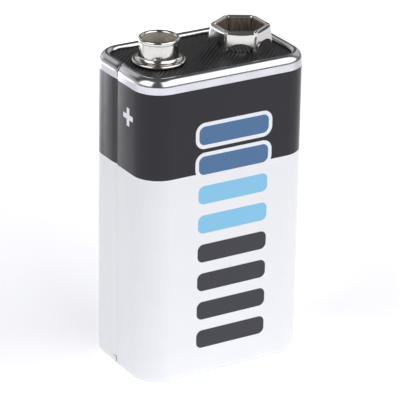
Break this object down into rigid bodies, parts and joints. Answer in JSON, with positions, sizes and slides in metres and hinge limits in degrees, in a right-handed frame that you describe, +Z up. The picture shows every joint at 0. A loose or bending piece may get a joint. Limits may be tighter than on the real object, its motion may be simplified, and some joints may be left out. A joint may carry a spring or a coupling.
{
  "type": "nine volt battery",
  "caption": "Upright rectangular battery in a folded steel case, with a round snap stud and a hexagonal snap socket riveted to its black top plate.",
  "frame": {"origin": "middle of the underside of the case's bent-in foot, on the surface it stands on", "axes": "+Z up through the terminals, +X from the round stud towards the hexagonal socket, -Y out of the broad printed front"},
  "size_m": [0.026, 0.0164, 0.0481],
  "materials": {
    "printed_steel": "tinned steel, bare and bright at the rim, printed dark above and white below",
    "black_plastic": "fine ribs",
    "bright_nickel": "polished nickel plating",
    "strip_metal": "nickel strip",
    "cell_steel": "drawn steel can",
    "card": "plain grey-brown card"
  },
  "bodies": {
    "root": {"jacket": "printed_steel", "top_board": "black_plastic", "positive_stud": "bright_nickel", "negative_socket": "bright_nickel", "positive_rivet": "bright_nickel", "negative_rivet": "bright_nickel", "positive_lead": "strip_metal", "negative_lead": "strip_metal", "cell_1": "cell_steel", "cell_2": "cell_steel", "cell_3": "cell_steel", "cell_4": "cell_steel", "cell_5": "cell_steel", "cell_6": "cell_steel", "link_1_2": "strip_metal", "link_2_3": "strip_metal", "link_3_4": "strip_metal", "link_4_5": "strip_metal", "link_5_6": "strip_metal", "upper_card": "card", "lower_card": "card", "bottom_plate": "black_plastic", "liner": "card"}
  },
  "joints": []
}
